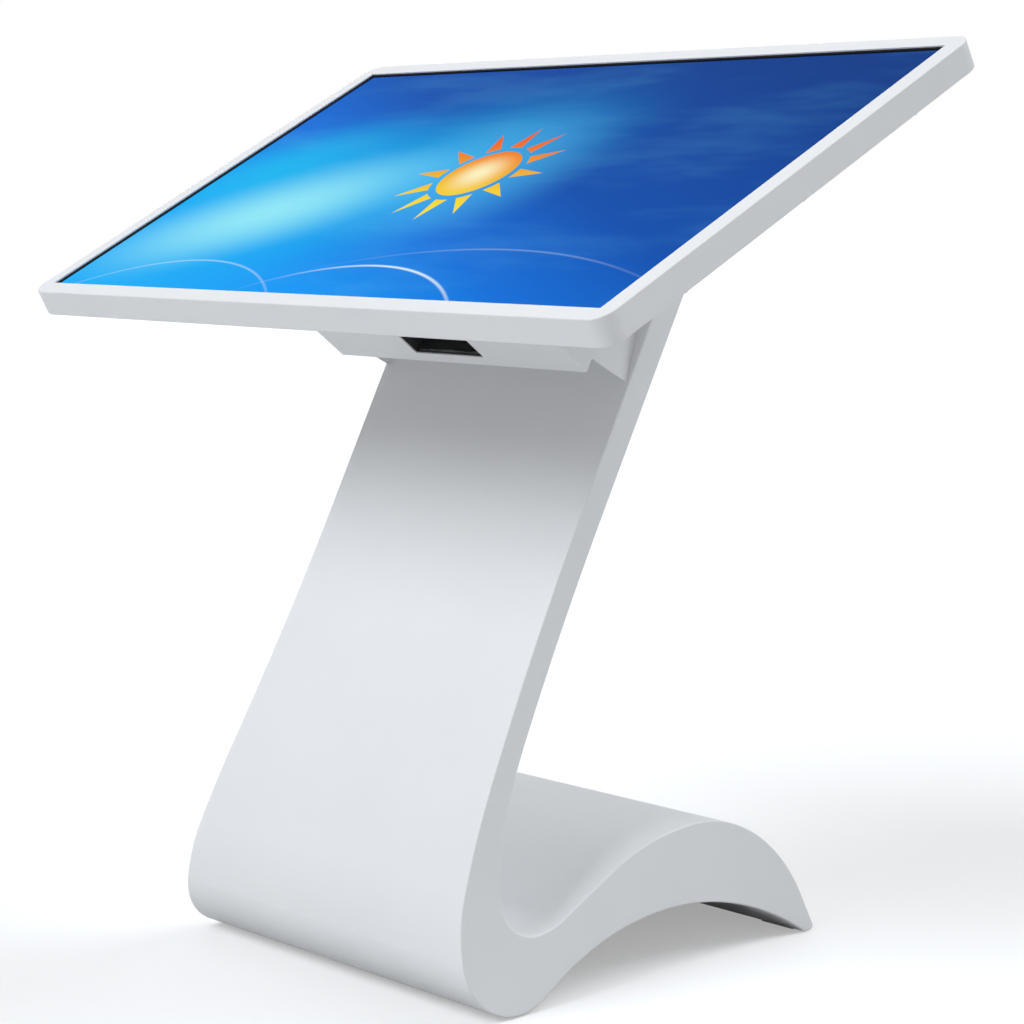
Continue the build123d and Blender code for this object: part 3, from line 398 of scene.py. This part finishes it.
finish_of_slot = {
    "white_paint": white_powder_coat(),
    "black_plastic": plain_finish(
        "black_moulded_plastic", (0.030, 0.030, 0.031), (0.038, 0.038, 0.039), rough=0.52,
        grain=1100.0, strength=0.25,
    ),
    "screen_glass": lit_touch_glass(),
    "lcd_film": plain_finish(
        "polariser_film", (0.010, 0.012, 0.016), (0.014, 0.016, 0.022), rough=0.12,
        spread=0.04, patch=8.0, strength=0.02,
    ),
    "opal_plastic": plain_finish(
        "opal_diffuser", (0.86, 0.86, 0.84), (0.82, 0.82, 0.80), rough=0.55,
        grain=700.0, strength=0.1,
    ),
    "plain_steel": galvanised_sheet(),
    "white_board": printed_board(
        "white_led_board", "led_bars", (0.80, 0.80, 0.79), (0.70, 0.70, 0.69),
        component=(0.85, 0.62, 0.10), component_depth=1.1,
    ),
    "zinc": plain_finish(
        "bright_zinc_plate", (0.60, 0.62, 0.65), (0.55, 0.54, 0.50), rough=0.30,
        spread=0.1, patch=120.0, grain=900.0, strength=0.12, metal=1.0,
    ),
    "black_case": plain_finish(
        "black_anodised_case", (0.022, 0.022, 0.024), (0.030, 0.030, 0.032), rough=0.38,
        spread=0.06, grain=500.0, strength=0.15, metal=0.6, stretch=(8, 1, 1),
    ),
    "circuit_board": printed_board(
        "green_circuit_board", "driver_board", (0.010, 0.095, 0.035), (0.030, 0.17, 0.07),
        component=(0.014, 0.014, 0.015), component_depth=-4.0,
    ),
    "rocker_plastic": plain_finish(
        "glossy_black_rocker", (0.012, 0.012, 0.012), (0.016, 0.016, 0.016), rough=0.18,
        spread=0.05, strength=0.03,
    ),
    "chrome": plain_finish(
        "polished_chrome", (0.78, 0.79, 0.81), (0.74, 0.75, 0.77), rough=0.08,
        spread=0.04, patch=150.0, grain=1200.0, strength=0.03, metal=1.0, stretch=(1, 20, 1),
    ),
    "socket_metal": plain_finish(
        "nickel_plate", (0.62, 0.60, 0.56), (0.54, 0.52, 0.49), rough=0.28,
        spread=0.08, patch=60.0, grain=600.0, strength=0.08, metal=1.0, stretch=(12, 1, 1),
    ),
    "button_metal": plain_finish(
        "brushed_button_steel", (0.66, 0.67, 0.68), (0.60, 0.61, 0.62), rough=0.32,
        spread=0.08, patch=200.0, grain=900.0, strength=0.15, metal=1.0, stretch=(20, 1, 1),
    ),
    "rubber": plain_finish(
        "black_rubber", (0.022, 0.022, 0.022), (0.032, 0.031, 0.030), rough=0.85,
        spread=0.06, patch=60.0, grain=700.0, strength=0.3, specular=0.3,
    ),
    "pad_rubber": plain_finish(
        "grey_pad_rubber", (0.50, 0.50, 0.49), (0.44, 0.44, 0.43), rough=0.8,
        spread=0.06, patch=60.0, grain=700.0, strength=0.3, specular=0.3,
    ),
    "cast_iron": cast_iron(),
}
for subpart in frame["record"]["subparts"]:
    piece = nodes[subpart["node"]]
    piece.data.materials.clear()
    piece.data.materials.append(finish_of_slot[subpart["material_slot"]])


# ---- contacts inside the sockets ------------------------------------------------------------
gold = plain_finish(
    "gold_flashed_contacts", (0.83, 0.60, 0.24), (0.76, 0.53, 0.20), rough=0.25,
    spread=0.06, patch=200.0, grain=900.0, strength=0.05, metal=1.0,
)


def add_ribbon(mesh, origin, along_axis, up_axis, path, width, thickness):
    """A bent strip of metal: path has its (along, up) points, and it is width wide across X."""
    rings = []
    for place, (along, up) in enumerate(path):
        before = Vector(path[max(place - 1, 0)])
        after = Vector(path[min(place + 1, len(path) - 1)])
        heading = (after - before).normalized()
        normal = Vector((-heading.y, heading.x)) * thickness / 2
        ring = []
        for side, face in ((-1, -1), (1, -1), (1, 1), (-1, 1)):
            corner = origin + across * side * width / 2
            corner += along_axis * (along + face * normal.x) + up_axis * (up + face * normal.y)
            ring.append(mesh.verts.new(corner))
        rings.append(ring)
    for ring, following in zip(rings, rings[1:]):
        for corner in range(4):
            beside = (corner + 1) % 4
            mesh.faces.new((ring[corner], ring[beside], following[beside], following[corner]))
    mesh.faces.new(reversed(rings[0]))
    mesh.faces.new(rings[-1])


def new_piece(name, mesh, material, body):
    """Makes an object from a bmesh and lets it ride on a body."""
    bmesh.ops.recalc_face_normals(mesh, faces=mesh.faces)
    data = bpy.data.meshes.new(name)
    mesh.to_mesh(data)
    mesh.free()
    data.materials.append(material)
    made = bpy.data.objects.new(name, data)
    bpy.context.scene.collection.objects.link(made)
    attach(made, body)


def at_bay(x, up, inward):
    """A point given by X and its places along the port bay's two other axes."""
    return across * x + bay_up * up + bay_inward * inward


usb_left, usb_right = span("usb_sockets", across)
usb_low, usb_high = span("usb_sockets", bay_up)
usb_front = span("usb_sockets", bay_inward)[0]
usb_half_w = 7 * MM
tongue_under = (usb_low + usb_high) / 2 + 0.1 * MM
usb_contact_places = (-3.5 * MM, -1.0 * MM, 1.0 * MM, 3.5 * MM)
usb_contact_path = (
    (0.8 * MM, 0.05 * MM), (1.4 * MM, -0.12 * MM), (7.5 * MM, -0.12 * MM), (8.6 * MM, 0.02 * MM),
)
usb_contact_w = 1.0 * MM
usb_contact_t = 0.15 * MM
usb_contacts = bmesh.new()
for middle in (usb_left + usb_half_w, usb_right - usb_half_w):
    for place in usb_contact_places:
        origin = at_bay(middle + place, tongue_under, usb_front)
        add_ribbon(
            usb_contacts, origin, bay_inward, bay_up, usb_contact_path, usb_contact_w, usb_contact_t
        )
new_piece("usb_contacts", usb_contacts, gold, "body")

lan_left, lan_right = span("lan_socket", across)
lan_low, lan_high = span("lan_socket", bay_up)
lan_front = span("lan_socket", bay_inward)[0]
lan_middle = (lan_left + lan_right) / 2
lan_top = (lan_low + lan_high) / 2 + 4.6 * MM
lan_pin_count = 8
lan_pin_pitch = 1.02 * MM
lan_pin_path = (
    (1.2 * MM, -0.2 * MM), (1.8 * MM, -0.3 * MM), (9.0 * MM, -3.6 * MM), (10.2 * MM, -3.8 * MM),
)
lan_pin_w = 0.45 * MM
lan_pin_t = 0.25 * MM
lan_contacts = bmesh.new()
for pin in range(lan_pin_count):
    x = lan_middle + (pin - (lan_pin_count - 1) / 2) * lan_pin_pitch
    origin = at_bay(x, lan_top, lan_front)
    add_ribbon(lan_contacts, origin, bay_inward, bay_up, lan_pin_path, lan_pin_w, lan_pin_t)
new_piece("lan_contacts", lan_contacts, gold, "body")


# ---- floor, backdrop, lights and camera ----------------------------------------------------
studio_half = 30.0
backdrop_radius = 28.0
world_strength = 0.29
light_spread = radians(40)
light_colour = (0.94, 0.985, 1.03)


def studio_plane(name, albedo, glow, height):
    """A large pale floor that is not part of the object and may glow a little."""
    material = plain_finish(
        name, (albedo,) * 3, (albedo * 0.99,) * 3, rough=0.8, patch=2.0, grain=60.0, strength=0.0,
        specular=0.0,
    )
    shader = material.node_tree.nodes["Principled BSDF"]
    shader.inputs["Emission Color"].default_value = (1, 1, 1, 1)
    shader.inputs["Emission Strength"].default_value = glow
    mesh = bpy.data.meshes.new(name)
    corners = [(-1, -1), (1, -1), (1, 1), (-1, 1)]
    mesh.from_pydata(
        [(x * studio_half, y * studio_half, height) for x, y in corners], [], [(0, 1, 2, 3)]
    )
    mesh.materials.append(material)
    made = bpy.data.objects.new(name, mesh)
    bpy.context.scene.collection.objects.link(made)
    return made


# The floor that is seen is paler than the one that throws light back on the object.
floor = studio_plane("studio_floor", albedo=0.62, glow=0.34, height=0.0)
floor.visible_diffuse = False
floor.visible_glossy = False
floor.visible_shadow = False
bounce_floor = studio_plane("studio_bounce_floor", albedo=0.60, glow=0.0, height=-2 * MM)
bounce_floor.visible_camera = False

world = bpy.data.worlds.new("studio")
bpy.context.scene.world = world
world.use_nodes = True
world.node_tree.nodes["Background"].inputs[0].default_value = (1, 1, 1, 1)
world.node_tree.nodes["Background"].inputs[1].default_value = world_strength

backdrop_material = bpy.data.materials.new("studio_backdrop")
backdrop_material.use_nodes = True
glow = backdrop_material.node_tree.nodes.new("ShaderNodeEmission")
glow.inputs[0].default_value = (1, 1, 1, 1)
backdrop_material.node_tree.links.new(
    glow.outputs[0], backdrop_material.node_tree.nodes["Material Output"].inputs[0]
)
backdrop_mesh = bpy.data.meshes.new("studio_backdrop")
shell = bmesh.new()
bmesh.ops.create_icosphere(shell, subdivisions=3, radius=backdrop_radius)
shell.to_mesh(backdrop_mesh)
shell.free()
backdrop = bpy.data.objects.new("studio_backdrop", backdrop_mesh)
backdrop_mesh.materials.append(backdrop_material)
bpy.context.scene.collection.objects.link(backdrop)
backdrop.visible_diffuse = False
backdrop.visible_glossy = False
backdrop.visible_shadow = False
backdrop.visible_transmission = False

# Each soft light: its side from the front, its height, both in degrees, and its strength.
soft_lights = (("key", -15, 45, 0.66), ("left_fill", -120, 45, 0.133), ("rear_fill", 150, 45, 0.51))
for name, side, height, strength in soft_lights:
    side = radians(side)
    height = radians(height)
    towards = Vector((sin(side) * cos(height), -cos(side) * cos(height), sin(height)))
    light = bpy.data.lights.new(name, "SUN")
    light.energy = strength * pi
    light.angle = light_spread
    light.color = light_colour
    light_object = bpy.data.objects.new(name, light)
    light_object.rotation_euler = towards.to_track_quat("Z", "Y").to_euler()
    light_object.visible_glossy = name != "left_fill"  # it would mirror in the glass
    bpy.context.scene.collection.objects.link(light_object)

camera_place = Vector((2.4009, -1.9987, 0.9136))
azimuth = radians(49.64)
elevation = radians(7.92)
roll = radians(1.70)
ahead = Vector((-sin(azimuth) * cos(elevation), cos(azimuth) * cos(elevation), -sin(elevation)))
level = Vector((cos(azimuth), sin(azimuth), 0))
below = ahead.cross(level)
right = level * cos(roll) + below * sin(roll)
down = below * cos(roll) - level * sin(roll)
camera = bpy.data.cameras.new("camera")
camera.lens = 99.58
camera.sensor_width = 36.0
camera_object = bpy.data.objects.new("camera", camera)
camera_object.matrix_world = (
    Matrix.Translation(camera_place) @ Matrix((right, -down, -ahead)).transposed().to_4x4()
)
bpy.context.scene.collection.objects.link(camera_object)
bpy.context.scene.camera = camera_object
bpy.context.scene.view_settings.view_transform = "Standard"
